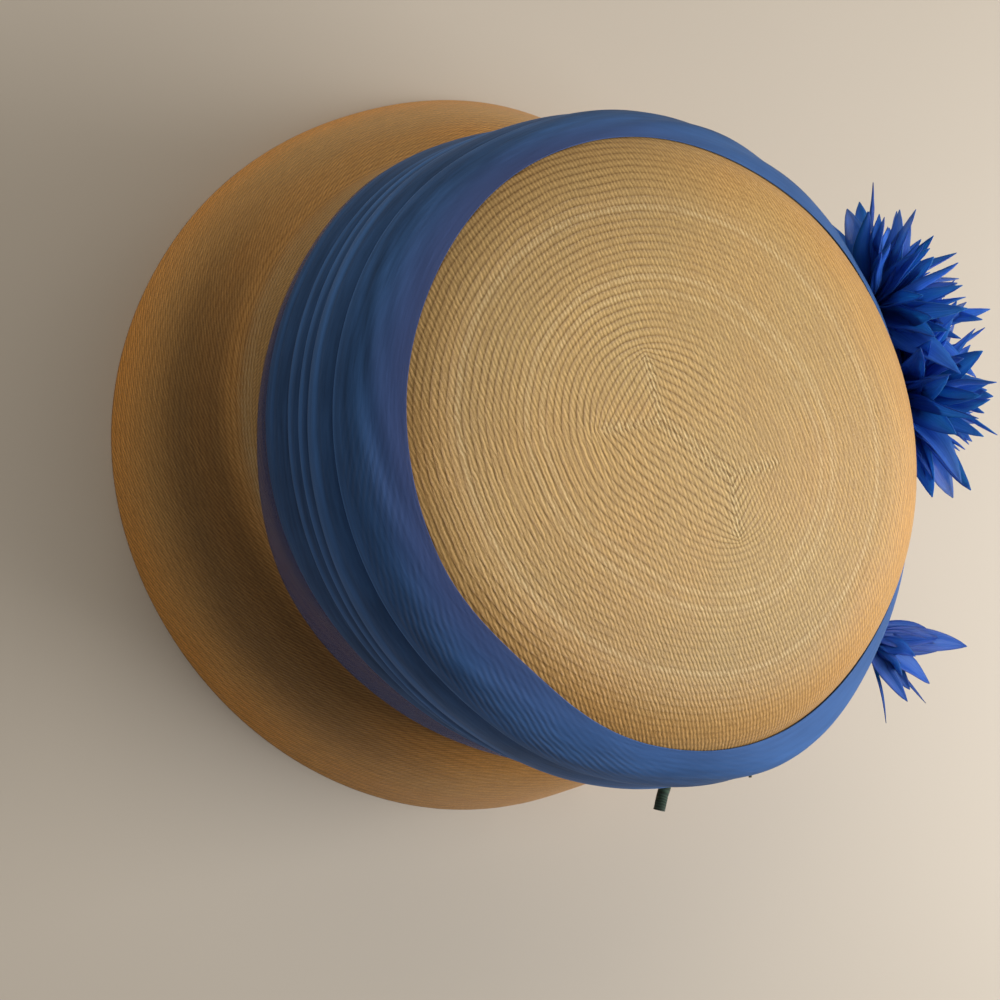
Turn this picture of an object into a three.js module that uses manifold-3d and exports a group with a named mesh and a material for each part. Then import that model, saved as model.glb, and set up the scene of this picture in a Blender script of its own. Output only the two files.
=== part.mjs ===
// A woven straw cloche hat with a draped chiffon band and blue cornflowers on wrapped stems.
// Millimetres, +Z up. The front of the hat faces -Y and the wearer's left is +X. The rim rests
// on Z = 0 and the origin is the middle of the footprint.
// An azimuth is in degrees round the crown: 0 front, 90 wearer's left, 180 back, 270 right.
// Heights in the functions below are measured from the brim break, where crown meets brim.
import * as THREE from 'three';
import { mergeVertices } from 'three/addons/utils/BufferGeometryUtils.js';
import Module from 'manifold-3d';

const wasm = await Module();
wasm.setup();

// Driving dimensions
const crown = {
  halfLength: 101, // outside, at the brim break
  halfWidth: 85,
  shoulderHalfLength: 91, // outside, where the tip's round edge starts
  shoulderHalfWidth: 84,
  height: 81, // brim break to the flat of the tip
  edgeRadius: 26,
  domeRise: 2.5,
};
const straw = { wall: 1.6, rimFace: 2.6 };
const brim = {
  halfLength: 116, // of its edge, which is an oval
  halfWidth: 112,
  forward: 7, // the edge's middle lies off the crown's axis
  toLeft: 3,
  drop: 34.5,
  breakRadius: 7,
};
const band = { lowerFullness: 4.8, upperFullness: 8 };
const bloom = {
  azimuth: 228,
  height: 42,
  headRadius: 9,
  spread: 12, // from the middle of the bunch to each of its two flower heads
  petals: 20,
  petalLength: 46,
  petalWidth: 11,
  petalThickness: 1.8,
  openDegrees: 72,
};
const sprig = {
  azimuth: 179,
  height: 38,
  headRadius: 4.5,
  petals: 7,
  petalLength: 31,
  petalWidth: 9,
  petalThickness: 1.8,
  openDegrees: 42,
};
const stem = { height: 10.5, radius: 1.6, endAzimuth: 141, endReach: 13 };
const wire = { radius: 0.8, fromAzimuth: 168, endAzimuth: 158, endReach: 13 };
const gap = 0.3; // between pieces that touch
const segments = 60; // facets round the hat

// The brim's curve: out as a share of its reach, down as a share of its drop
const brimCurve = [
  { out: 0.3, down: 0.16 },
  { out: 0.55, down: 0.38 },
  { out: 0.78, down: 0.66 },
  { out: 0.92, down: 0.87 },
  { out: 1.0, down: 1.0 },
];

// The chiffon round the hat. Its edges are shares of the crown's height: the lower swath runs from
// bottom to seam and the upper swath from seam to top. Fullness is a share of each swath's own
const bandTable = [
  { azimuth: 0, bottom: 0.2, seam: 0.52, top: 0.95, fullness: 1.0 },
  { azimuth: 45, bottom: 0.2, seam: 0.52, top: 0.95, fullness: 1.0 },
  { azimuth: 90, bottom: 0.19, seam: 0.5, top: 0.94, fullness: 0.95 },
  { azimuth: 135, bottom: 0.18, seam: 0.47, top: 0.9, fullness: 0.85 },
  { azimuth: 180, bottom: 0.18, seam: 0.45, top: 0.79, fullness: 0.65 },
  { azimuth: 225, bottom: 0.18, seam: 0.45, top: 0.78, fullness: 0.65 },
  { azimuth: 270, bottom: 0.19, seam: 0.49, top: 0.86, fullness: 0.85 },
  { azimuth: 315, bottom: 0.2, seam: 0.52, top: 0.93, fullness: 1.0 },
];

// Folds across each swath, from its lower edge to its upper one. Lift is a share of its fullness
const lowerFolds = [
  { across: 0.0, lift: 0.3 },
  { across: 0.1, lift: 0.7 },
  { across: 0.24, lift: 1.0 },
  { across: 0.38, lift: 0.62 },
  { across: 0.5, lift: 0.92 },
  { across: 0.62, lift: 0.56 },
  { across: 0.76, lift: 0.84 },
  { across: 0.9, lift: 0.5 },
  { across: 1.0, lift: 0.4 },
];
const upperFolds = [
  { across: 0.0, lift: 0.5 },
  { across: 0.07, lift: 0.82 },
  { across: 0.2, lift: 1.0 },
  { across: 0.38, lift: 0.96 },
  { across: 0.54, lift: 0.74 },
  { across: 0.68, lift: 0.5 },
  { across: 0.8, lift: 0.32 },
  { across: 0.91, lift: 0.22 },
  { across: 1.0, lift: 0.16 },
];

const strawColour = { color: 0xc9a56b, roughness: 0.72, metalness: 0 };
const chiffonColour = { color: 0x2f55a0, roughness: 0.8, metalness: 0 };
const petalColour = { color: 0x1136b0, roughness: 0.65, metalness: 0 };
const stemColour = { color: 0x1d3324, roughness: 0.85, metalness: 0 };

const radians = (degrees) => (degrees * Math.PI) / 180;

// A column of a table round the hat, read at any azimuth along a smooth closed curve
function around(table, column, azimuth) {
  const place = (((azimuth % 360) + 360) % 360) / (360 / table.length);
  const row = Math.floor(place);
  const t = place - row;
  const at = (offset) => table[(row + offset + table.length) % table.length][column];
  const [before, from, to, after] = [at(-1), at(0), at(1), at(2)];
  const bend = 2 * before - 5 * from + 4 * to - after;
  const twist = 3 * (from - to) + after - before;
  return from + 0.5 * t * (to - before + t * (bend + t * twist));
}

// Distance from the axis to an oval in the direction of an azimuth
function ovalRadius(halfLength, halfWidth, azimuth) {
  const a = radians(azimuth);
  return 1 / Math.hypot(Math.cos(a) / halfLength, Math.sin(a) / halfWidth);
}

// A point of the hat from its azimuth, its distance from the axis and its height
function place(azimuth, radius, height) {
  const a = radians(azimuth);
  return new THREE.Vector3(radius * Math.sin(a), -radius * Math.cos(a), height);
}

// The straw's outside at a height of the crown: its radius, and the slope of its outward normal
function crownAt(azimuth, height) {
  const sideHeight = crown.height - crown.edgeRadius;
  const baseRadius = ovalRadius(crown.halfLength, crown.halfWidth, azimuth);
  const topRadius = ovalRadius(crown.shoulderHalfLength, crown.shoulderHalfWidth, azimuth);
  const flare = Math.atan((baseRadius - topRadius) / sideHeight);
  if (height <= sideHeight) {
    const share = height / sideHeight;
    return { radius: baseRadius + share * (topRadius - baseRadius), slope: flare };
  }
  const rise = Math.min((height - sideHeight) / crown.edgeRadius, 1);
  const run = Math.sqrt(1 - rise * rise);
  const radius = topRadius - crown.edgeRadius * (1 - run);
  return { radius, slope: Math.max(flare, Math.asin(rise)) };
}

// A point that stands off the crown's outside by a lift
function onCrown(azimuth, height, lift) {
  const { radius, slope } = crownAt(azimuth, height);
  return place(azimuth, radius + lift * Math.cos(slope), height + lift * Math.sin(slope));
}

// A closed body through rings of points. A ring of one point is a pole. Where the rings come
// round to the first one, the body is a tube that closes on itself
function loft(rings, closesOnItself) {
  const positions = [];
  const starts = rings.map((ring) => {
    const start = positions.length / 3;
    ring.forEach((point) => positions.push(point.x, point.y, point.z));
    return start;
  });
  const index = [];
  const last = closesOnItself ? rings.length : rings.length - 1;
  for (let i = 0; i < last; i += 1) {
    const j = (i + 1) % rings.length;
    const [upper, lower] = [rings[i].length, rings[j].length];
    for (let k = 0; k < segments; k += 1) {
      const next = (k + 1) % segments;
      const [a, b] = [starts[i] + (k % upper), starts[i] + (next % upper)];
      const [c, d] = [starts[j] + (k % lower), starts[j] + (next % lower)];
      if (lower > 1) index.push(a, c, d);
      if (upper > 1) index.push(a, d, b);
    }
  }
  const geometry = new THREE.BufferGeometry();
  geometry.setAttribute('position', new THREE.Float32BufferAttribute(positions, 3));
  geometry.setIndex(index);
  geometry.computeVertexNormals();
  return geometry;
}

// Distance from the crown's axis to the brim's edge, an oval that is off the axis
function brimEdge(azimuth) {
  const a = radians(azimuth);
  const direction = new THREE.Vector2(Math.cos(a) / brim.halfLength, Math.sin(a) / brim.halfWidth);
  const offset = new THREE.Vector2(brim.forward / brim.halfLength, brim.toLeft / brim.halfWidth);
  const along = direction.dot(offset);
  const square = direction.lengthSq();
  return (along + Math.sqrt(along * along + square * (1 - offset.lengthSq()))) / square;
}

const azimuths = Array.from({ length: segments }, (_, k) => (360 * k) / segments);

// One azimuth's outline of the hat's outside, from the tip to the rim, as [radius, height]
function hatOutline(azimuth) {
  const topRadius = ovalRadius(crown.shoulderHalfLength, crown.shoulderHalfWidth, azimuth);
  const flat = topRadius - crown.edgeRadius;
  const sideHeight = crown.height - crown.edgeRadius;
  const outline = [];
  for (const share of [0.4, 0.75, 1]) {
    outline.push([flat * share, crown.height + crown.domeRise * (1 - share * share)]);
  }
  for (const turn of [20, 40, 60, 78]) {
    const height = sideHeight + crown.edgeRadius * Math.cos(radians(turn));
    outline.push([crownAt(azimuth, height).radius, height]);
  }
  for (const share of [0.9, 0.6, 0.3]) {
    const height = brim.breakRadius + (sideHeight - brim.breakRadius) * share;
    outline.push([crownAt(azimuth, height).radius, height]);
  }
  const root = crownAt(azimuth, brim.breakRadius).radius;
  for (const turn of [0, 25, 50]) {
    const out = brim.breakRadius * (1 - Math.cos(radians(turn)));
    outline.push([root + out, brim.breakRadius * (1 - Math.sin(radians(turn)))]);
  }
  const [rootOut, rootHeight] = outline[outline.length - 1];
  const edge = brimEdge(azimuth);
  for (const { out, down } of brimCurve) {
    outline.push([
      rootOut + (edge - rootOut) * out,
      rootHeight - (rootHeight + brim.drop) * down,
    ]);
  }
  return outline;
}

// The same outline moved in by a wall, apart from the rim, which stays flat on its plane
function movedIn(outline, wall, rimFace) {
  return outline.map(([radius, height], i) => {
    if (i === outline.length - 1) return [radius - rimFace, height];
    const [r0, h0] = i === 0 ? [0, outline[0][1]] : outline[i - 1];
    const [r1, h1] = outline[i + 1];
    const length = Math.hypot(r1 - r0, h1 - h0);
    return [radius + (wall * (h1 - h0)) / length, height - (wall * (r1 - r0)) / length];
  });
}

// Crown and brim are one woven hood, blocked over a form
function strawBody(wall, outset) {
  const outlines = azimuths.map(hatOutline);
  const outside = outset ? outlines.map((o) => movedIn(o, -outset, -outset)) : outlines;
  const inside = outlines.map((o) => movedIn(o, wall, straw.rimFace));
  const ring = (set, i) => set.map((o, k) => place(azimuths[k], o[i][0], o[i][1]));
  const count = outlines[0].length;
  const rings = [[new THREE.Vector3(0, 0, crown.height + crown.domeRise + outset)]];
  for (let i = 0; i < count; i += 1) rings.push(ring(outside, i));
  for (let i = count - 1; i >= 0; i -= 1) rings.push(ring(inside, i));
  rings.push([new THREE.Vector3(0, 0, crown.height + crown.domeRise - wall)]);
  return loft(rings, false);
}

// A swath of chiffon round the crown between two edges of the band's table
function swath(folds, fullness, edges, outset) {
  const point = (azimuth, across, lift) => {
    const low = around(bandTable, edges.lower, azimuth) * crown.height + edges.trimLower - outset;
    const high = around(bandTable, edges.upper, azimuth) * crown.height - edges.trimUpper + outset;
    return onCrown(azimuth, low + (high - low) * across, lift);
  };
  const outer = folds.map(({ across, lift }) =>
    azimuths.map((azimuth) => {
      const full = fullness * around(bandTable, 'fullness', azimuth);
      return point(azimuth, across, gap + lift * full + outset);
    }),
  );
  const inner = folds.map(({ across }) =>
    azimuths.map((azimuth) => point(azimuth, across, gap - outset)),
  );
  return loft([...outer.reverse(), ...inner], true);
}

function lowerSwath(outset) {
  const edges = { lower: 'bottom', upper: 'seam', trimLower: 0, trimUpper: gap / 2 };
  return swath(lowerFolds, band.lowerFullness, edges, outset);
}

function upperSwath(outset) {
  const edges = { lower: 'seam', upper: 'top', trimLower: gap / 2, trimUpper: 0 };
  return swath(upperFolds, band.upperFullness, edges, outset);
}

function solidOf(geometry) {
  const bare = geometry.clone();
  bare.deleteAttribute('normal');
  bare.deleteAttribute('uv');
  const merged = mergeVertices(bare, 1e-4);
  const vertProperties = new Float32Array(merged.attributes.position.array);
  const triVerts = new Uint32Array(merged.index.array);
  return new wasm.Manifold(new wasm.Mesh({ numProp: 3, vertProperties, triVerts }));
}

function geometryOf(solid) {
  const mesh = solid.getMesh();
  const geometry = new THREE.BufferGeometry();
  geometry.setAttribute('position', new THREE.Float32BufferAttribute(mesh.vertProperties, 3));
  geometry.setIndex([...mesh.triVerts]);
  geometry.computeVertexNormals();
  return geometry;
}

// A pointed petal from a flower head's centre along a direction
function petal(flower, centre, direction, length, roll) {
  const geometry = new THREE.OctahedronGeometry(1);
  geometry.scale(flower.petalWidth / 2, length / 2, flower.petalThickness / 2);
  geometry.translate(0, length / 2, 0);
  const turn = new THREE.Quaternion().setFromUnitVectors(new THREE.Vector3(0, 1, 0), direction);
  turn.multiply(new THREE.Quaternion().setFromAxisAngle(new THREE.Vector3(0, 1, 0), roll));
  geometry.applyQuaternion(turn);
  geometry.translate(centre.x, centre.y, centre.z);
  return solidOf(geometry);
}

function ball(centre, radius) {
  const geometry = new THREE.SphereGeometry(radius, 12, 8);
  geometry.rotateX(Math.PI / 2);
  geometry.translate(centre.x, centre.y, centre.z);
  return solidOf(geometry);
}

// Petals spread evenly over a cap round an axis, on the spiral that a seed head follows
function flowerHead(flower, centre, axis, startTurn) {
  const goldenTurn = Math.PI * (3 - Math.sqrt(5));
  const side = new THREE.Vector3().crossVectors(axis, new THREE.Vector3(0, 0, 1)).normalize();
  const other = new THREE.Vector3().crossVectors(side, axis);
  let head = ball(centre, flower.headRadius);
  for (let i = 0; i < flower.petals; i += 1) {
    const lean = radians(flower.openDegrees) * Math.sqrt((i + 0.5) / flower.petals);
    const turn = startTurn + i * goldenTurn;
    const direction = axis.clone().multiplyScalar(Math.cos(lean));
    direction.addScaledVector(side, Math.sin(lean) * Math.cos(turn));
    direction.addScaledVector(other, Math.sin(lean) * Math.sin(turn));
    const length = flower.petalLength * (0.86 + 0.14 * Math.cos(5 * turn));
    head = head.add(petal(flower, centre, direction, length, turn));
  }
  return head;
}

// Where a flower's head sits: a height up the band, its back just inside the band's outside
function seatOnBand(flower, azimuth) {
  const { radius } = crownAt(azimuth, flower.height);
  const full = band.lowerFullness * around(bandTable, 'fullness', azimuth);
  return place(azimuth, radius + gap + full + 0.7 * flower.headRadius, flower.height);
}

const strawClearance = solidOf(strawBody(straw.wall, gap));
const clearance = strawClearance.add(solidOf(lowerSwath(gap))).add(solidOf(upperSwath(gap)));

// Two flower heads side by side, facing out and a little apart
function bunch() {
  const { radius } = crownAt(bloom.azimuth, bloom.height);
  const apart = (bloom.spread / radius) * (180 / Math.PI);
  const heads = [-1, 1].map((side) => {
    const centre = seatOnBand(bloom, bloom.azimuth + side * apart);
    const axis = place(bloom.azimuth + side * 20, 1, 0.12).normalize();
    return flowerHead(bloom, centre, axis, side);
  });
  return heads[0].add(heads[1]).subtract(clearance);
}

function smallFlower() {
  const axis = place(sprig.azimuth, 1, 0.1).normalize();
  return flowerHead(sprig, seatOnBand(sprig, sprig.azimuth), axis, 0.4).subtract(clearance);
}

// A round bar that follows the crown's foot from one azimuth to another and then runs out to its end
function footBar(radius, fromAzimuth, toAzimuth, endReach) {
  const path = [];
  for (let azimuth = fromAzimuth; azimuth > toAzimuth + 8; azimuth -= 6) {
    path.push(onCrown(azimuth, stem.height, gap + radius));
  }
  path.push(onCrown(toAzimuth, stem.height, gap + radius + endReach));
  const section = new THREE.Shape().absarc(0, 0, radius, 0, 2 * Math.PI, false);
  const bar = new THREE.ExtrudeGeometry(section, {
    steps: 3 * path.length,
    curveSegments: 6,
    bevelEnabled: false,
    extrudePath: new THREE.CatmullRomCurve3(path, false, 'centripetal'),
  });
  return solidOf(bar);
}

// The wrapped stems of the small flower, tucked under the band's lower edge
function stems() {
  const wrapped = footBar(stem.radius, sprig.azimuth, stem.endAzimuth, stem.endReach);
  const thin = footBar(wire.radius, wire.fromAzimuth, wire.endAzimuth, wire.endReach);
  return wrapped.add(thin).subtract(clearance);
}

function meshOf(name, geometry, finish) {
  const mesh = new THREE.Mesh(geometry, new THREE.MeshStandardMaterial(finish));
  mesh.name = name;
  return mesh;
}

const hat = new THREE.Group();
hat.add(meshOf('straw_body', strawBody(straw.wall, 0), strawColour));
hat.add(meshOf('band_lower_swath', lowerSwath(0), chiffonColour));
hat.add(meshOf('band_upper_swath', upperSwath(0), chiffonColour));
hat.add(meshOf('cornflower_bunch', geometryOf(bunch()), petalColour));
hat.add(meshOf('cornflower_small', geometryOf(smallFlower()), petalColour));
hat.add(meshOf('flower_stems', geometryOf(stems()), stemColour));

// The rim stands on the ground plane, with the footprint's middle at the origin
hat.updateMatrixWorld(true);
const footprint = new THREE.Box3().setFromObject(hat);
const middle = footprint.getCenter(new THREE.Vector3());
hat.position.set(-middle.x, -middle.y, brim.drop);

export default hat;
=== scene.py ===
"""A woven straw cloche hat with a draped chiffon band and silk cornflowers."""

import math

import bmesh
import bpy
import numpy as np
from mathutils import Matrix, Vector


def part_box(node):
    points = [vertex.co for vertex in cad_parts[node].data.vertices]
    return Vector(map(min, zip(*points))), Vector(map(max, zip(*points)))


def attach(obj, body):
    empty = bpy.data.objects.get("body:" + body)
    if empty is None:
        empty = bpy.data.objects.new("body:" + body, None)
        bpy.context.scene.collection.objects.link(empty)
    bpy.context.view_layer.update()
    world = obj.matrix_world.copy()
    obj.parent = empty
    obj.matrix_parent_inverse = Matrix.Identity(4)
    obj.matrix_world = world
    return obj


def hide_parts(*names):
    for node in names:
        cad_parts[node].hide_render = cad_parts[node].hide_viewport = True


bl_info = {
    "name": "Straw Cloche",
    "version": (1, 0, 0),
    "blender": (4, 5, 0),
    "location": "3D View > Sidebar > Cloche",
    "description": "Woven straw body, draped chiffon band and silk cornflowers of a cloche hat",
    "category": "Object",
}

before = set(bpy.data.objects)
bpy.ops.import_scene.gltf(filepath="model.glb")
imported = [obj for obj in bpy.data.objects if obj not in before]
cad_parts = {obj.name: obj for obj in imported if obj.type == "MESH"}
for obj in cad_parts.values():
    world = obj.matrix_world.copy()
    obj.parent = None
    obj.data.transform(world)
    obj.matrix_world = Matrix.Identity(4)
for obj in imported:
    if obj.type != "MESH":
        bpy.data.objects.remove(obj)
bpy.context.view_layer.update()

# The hat's own frame is in millimetres: the crown's axis is its Z, the brim break its zero
# height, and an azimuth runs from the front (0) to the wearer's left (90).
CROWN_BASE = (101.0, 85.0)
CROWN_SHOULDER = (91.0, 84.0)
CROWN_HEIGHT = 81.0
EDGE_RADIUS = 26.0
DOME_RISE = 2.5
WALL = 1.6
RIM_WIDTH = 2.2
BRIM_HALF = (116.0, 112.0)
BRIM_FORWARD, BRIM_LEFT = 7.0, 3.0
BRIM_DROP = 34.5
BREAK_RADIUS = 7.0
BRIM_CURVE = ((0.0, 0.0), (0.3, 0.16), (0.55, 0.38), (0.78, 0.66), (0.92, 0.87), (1.0, 1.0))
RIDGE_HALF = 12.5  # the weave starts on a short ridge that runs front to back
RIDGE_SHIFT = -4.1
FLAT_RUN = 57.5  # from the ridge to where the tip's round edge starts

CROWN_WAVE = (0.0, 0.0, 0.0, 0.0, 0.6, 2.2, 0.7, 0.2, 0.4, 1.2, 0.5, 0.0)  # every 30 degrees
BRIM_WAVE = (-0.6, 0.9, 0.3, 0.6, 0.8, 0.0, -0.4, 0.3, 0.0, 0.3, 1.4, -1.6)  # every 30 degrees

# The chiffon's edges and creases as shares of the crown's height, every 30 degrees from the front
BAND_BOTTOM = (0.31, 0.24, 0.10, 0.09, 0.13, 0.18, 0.19, 0.19, 0.19, 0.19, 0.18, 0.20)
BAND_SEAM = (0.82, 0.83, 0.82, 0.80, 0.72, 0.62, 0.57, 0.54, 0.55, 0.62, 0.70, 0.79)
BAND_TOP = (0.962, 0.968, 0.962, 0.957, 0.902, 0.85, 0.82, 0.79, 0.82, 0.885, 0.893, 0.93)
PLEAT_LIFT = (3.0, 3.0, 3.4, 5.0, 6.4, 7.2, 6.0, 5.0, 5.2, 5.0, 3.8, 1.5)
FOLD_LIFT = (2.6, 2.6, 2.9, 3.6, 4.5, 7.7, 6.4, 5.2, 5.8, 5.5, 4.0, 1.1)
HEM_FLARE = (0.2, 0.6, 3.4, 4.4, 3.6, 4.2, 4.6, 3.0, 1.0, 1.0, 0.8, 0.4)
# Creases between the pleats, as shares of the way from the hem to the seam
CREASES = (
    (0.18, 0.18, 0.26, 0.30, 0.24, 0.16, 0.14, 0.14, 0.14, 0.14, 0.14, 0.16),
    (0.44, 0.46, 0.47, 0.43, 0.34, 0.27, 0.28, 0.34, 0.40, 0.44, 0.46, 0.45),
    (0.57, 0.60, 0.61, 0.55, 0.43, 0.36, 0.38, 0.46, 0.54, 0.60, 0.60, 0.58),
    (0.71, 0.74, 0.73, 0.66, 0.53, 0.46, 0.50, 0.62, 0.68, 0.72, 0.73, 0.71),
    (1.00,) * 12,
)
PLEAT_RISE = (0.8, 0.62, 0.75, 1.0)  # shares of the lift
# painted highlights on the pleats' crests
PLEAT_LIGHT = (0.12, 0.45, 0.7, 0.5)  # how much paler the pleat's crest is

# The wide fold from its tucked-in lower edge to its upper edge: the way up, and shares of the lift
FOLD_PROFILE = (
    (0.06, 0.05), (-0.04, 0.34), (-0.11, 0.68), (-0.07, 0.93), (0.06, 1.0), (0.22, 0.95),
    (0.37, 0.83), (0.52, 0.66), (0.66, 0.46), (0.80, 0.26), (0.92, 0.09), (1.0, 0.0),
)

# The large heads: azimuth and height of the seat, azimuth that it faces, and seed of its draws
HEADS = ((223.5, 43, 222, 71), (239.5, 45, 236, 75))
PETALS_IN_HEAD = 112
HEAD_SPREAD = 82  # degrees that the outermost petals lean away from the head's axis
SEAT_OUT = 10.0  # the flowers' seats stand off the crown by this much
PETAL_THICKNESS = 0.00025
# The small flower's petals: azimuth, rise, length, width, curl, bend, roll and shade. The last
# two are loose threads
BUD_PETALS = (
    (211, 0.04, 40.0, 8.0, -0.10, 0.10, 0.2, 0.85),
    (214, 0.12, 26.0, 9.0, -0.16, 0.04, -0.2, 0.95),
    (205, 0.02, 29.0, 8.0, -0.06, 0.05, 0.3, 1.0),
    (182, 0.04, 29.0, 7.5, -0.12, -0.05, -0.3, 0.70),
    (176, -0.05, 25.0, 6.0, -0.05, 0.10, 0.5, 1.0),
    (157, 0.02, 25.0, 5.5, -0.10, -0.10, 0.2, 0.85),
    (176, -0.10, 34.0, 1.6, -0.05, 0.02, 0.0, 1.0),
    (152, -0.05, 28.0, 1.3, -0.10, 0.10, 0.0, 1.0),
)

# The wrapped stem and the wire: azimuths of both ends, radius, and how far the cut end stands out
STEMS = ((179, 140, 1.8, 17.0), (168, 156, 0.5, 20.5))
STEM_HEIGHT = 10.5
STEM_WINDS = 6.0  # turns of thread from one ring of the mesh to the next

# Each lamp: place, size, power and colour
LAMPS = {
    "window": ((-0.23, 0.58, 0.50), 0.45, 5.5, (1.0, 0.97, 0.93)),
    "ceiling": ((-0.25, 0.36, 1.2), 0.6, 4.2, (1.0, 0.95, 0.88)),
    "bounce": ((-0.62, -0.5, 0.75), 0.7, 2.7, (1.0, 0.85, 0.64)),
}
LIT_POINT = Vector((0, 0, 0.06))
# The camera's place and its right, up and back, fitted to the crown and the brim
CAMERA_PLACE = (0.13762506, -0.16671963, 0.47215241)
CAMERA_AXES = (
    (-0.49772755, 0.76438664, 0.40985406),
    (-0.83347455, -0.55227033, 0.01782295),
    (0.23997385, -0.33273196, 0.91197697),
)

LOW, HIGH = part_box("straw_body")
ORIGIN = np.array(
    [
        (LOW.x + HIGH.x) / 2 - BRIM_LEFT / 1000,
        (LOW.y + HIGH.y) / 2 + BRIM_FORWARD / 1000,
        BRIM_DROP / 1000,
    ]
)


class StrawSettings(bpy.types.PropertyGroup):
    row_pitch: bpy.props.FloatProperty(
        name="Row pitch", description="Width of one woven row", default=0.00205, unit="LENGTH"
    )
    twill_pitch: bpy.props.FloatProperty(
        name="Twill pitch", description="Distance between twill lines", default=0.00105,
        unit="LENGTH",
    )
    relief: bpy.props.FloatProperty(
        name="Row relief", description="Depth of the grooves between rows", default=0.00009,
        unit="LENGTH",
    )
    colour: bpy.props.FloatVectorProperty(
        name="Straw", description="Colour of the straw", default=(0.49, 0.343, 0.142),
        subtype="COLOR",
    )
    # the older straw's colour, which also stands for painted warm shade on the brim
    shade: bpy.props.FloatVectorProperty(
        name="Aged straw", description="Colour of the older straw", default=(0.62, 0.285, 0.056),
        subtype="COLOR",
    )


class ChiffonSettings(bpy.types.PropertyGroup):
    thickness: bpy.props.FloatProperty(
        name="Thickness", description="Thickness of the chiffon", default=0.0003, unit="LENGTH"
    )
    colour: bpy.props.FloatVectorProperty(
        name="Chiffon", description="Colour of the folded chiffon", default=(0.034, 0.113, 0.32),
        subtype="COLOR",
    )
    sheer: bpy.props.FloatProperty(
        name="Cover", description="How much a single layer covers", default=0.62, min=0.0, max=1.0
    )


class FlowerSettings(bpy.types.PropertyGroup):
    petal_length: bpy.props.FloatProperty(
        name="Petal length", description="Longest petal of the large heads", default=0.034,
        unit="LENGTH",
    )
    petal_width: bpy.props.FloatProperty(
        name="Petal width", description="Widest part of a petal", default=0.0088, unit="LENGTH"
    )
    colour: bpy.props.FloatVectorProperty(
        name="Petal", description="Colour of the silk petals", default=(0.010, 0.105, 0.70),
        subtype="COLOR",
    )
    edge: bpy.props.FloatVectorProperty(
        name="Petal edge", description="Colour of the cut edges", default=(0.003, 0.012, 0.13),
        subtype="COLOR",
    )


def oval(half, azimuth):
    """Distance from the axis to an oval of half sizes (front to back, side to side)."""
    return 1 / np.hypot(np.cos(azimuth) / half[0], np.sin(azimuth) / half[1])


def curve_between(before, start, end, after, t):
    """A smooth curve from start to end at a share t, whose slopes come from its neighbours."""
    bend = 2 * before - 5 * start + 4 * end - after
    twist = 3 * (start - end) + after - before
    return start + 0.5 * t * (end - before + t * (bend + t * twist))


def around(values, azimuth):
    """A closed smooth curve through values spaced evenly from the front."""
    values = np.asarray(values, float)
    step = np.mod(azimuth / (2 * np.pi), 1) * len(values)
    row = np.floor(step).astype(int)
    return curve_between(*(values[(row + k) % len(values)] for k in (-1, 0, 1, 2)), step - row)


def through(points, count):
    """A smooth open curve through (x, y) points, as that many points."""
    points = np.asarray(points, float)
    last = len(points) - 1
    step = np.linspace(0, last, count)
    row = np.minimum(np.floor(step).astype(int), last - 1)
    near = (points[np.clip(row + k, 0, last)] for k in (-1, 0, 1, 2))
    return curve_between(*near, (step - row)[:, None])


def crown_at(azimuth, height):
    """The crown's outside at a height: its radius, and the slope of its outward normal."""
    side = CROWN_HEIGHT - EDGE_RADIUS
    base, top = crown_oval(CROWN_BASE, azimuth), crown_oval(CROWN_SHOULDER, azimuth)
    flare = np.arctan((base - top) / side)
    share = height / side
    rise = np.clip((height - side) / EDGE_RADIUS, 0, 1)
    run = np.sqrt(1 - rise * rise)
    low = height <= side
    radius = np.where(low, base + share * (top - base), top - EDGE_RADIUS * (1 - run))
    slope = np.where(low, flare, np.maximum(flare, np.arcsin(rise)))
    return radius, slope


def place(azimuth, radius, height):
    """Points in the hat's own frame from cylindrical ones."""
    azimuth, radius, height = np.broadcast_arrays(azimuth, radius, height)
    return np.stack([radius * np.sin(azimuth), -radius * np.cos(azimuth), height], -1)


def on_crown(azimuth, height, lift):
    """Points that stand off the crown's outside by a lift."""
    radius, slope = crown_at(azimuth, height)
    return place(azimuth, radius + lift * np.cos(slope), height + lift * np.sin(slope))


def brim_edge(azimuth):
    """Distance from the axis to the brim's edge."""
    d = np.stack([np.cos(azimuth) / BRIM_HALF[0], np.sin(azimuth) / BRIM_HALF[1]])
    offset = np.array([BRIM_FORWARD / BRIM_HALF[0], BRIM_LEFT / BRIM_HALF[1]])
    along = np.tensordot(offset, d, 1)
    square = (d * d).sum(0)
    smooth = (along + np.sqrt(along**2 + square * (1 - (offset * offset).sum()))) / square
    return smooth + around(BRIM_WAVE, azimuth)


def crown_oval(half, azimuth):
    """Distance from the axis to the crown's own, slightly uneven oval."""
    return oval(half, azimuth) + around(CROWN_WAVE, azimuth)


def smoothstep(low, high, x):
    t = np.clip((x - low) / (high - low), 0, 1)
    return t * t * (3 - 2 * t)


def waves(azimuth, seed, count, first):
    """A smooth closed wander round the hat, between about -1 and 1."""
    rng = np.random.default_rng(seed)
    total = np.zeros_like(azimuth, dtype=float)
    for k in range(first, first + count):
        total += rng.normal() / k * np.sin(k * azimuth + rng.uniform(0, 2 * np.pi))
    return total


def grid_faces(rings, columns, closed):
    """Quads of a grid of points: rings run along the surface and columns across it."""
    last = columns if closed else columns - 1
    i, k = np.meshgrid(np.arange(rings - 1), np.arange(last), indexing="ij")
    after = (k + 1) % columns
    quads = [i * columns + k, (i + 1) * columns + k, (i + 1) * columns + after, i * columns + after]
    return np.stack(quads, -1).reshape(-1, 4), i.ravel(), k.ravel()


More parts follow.
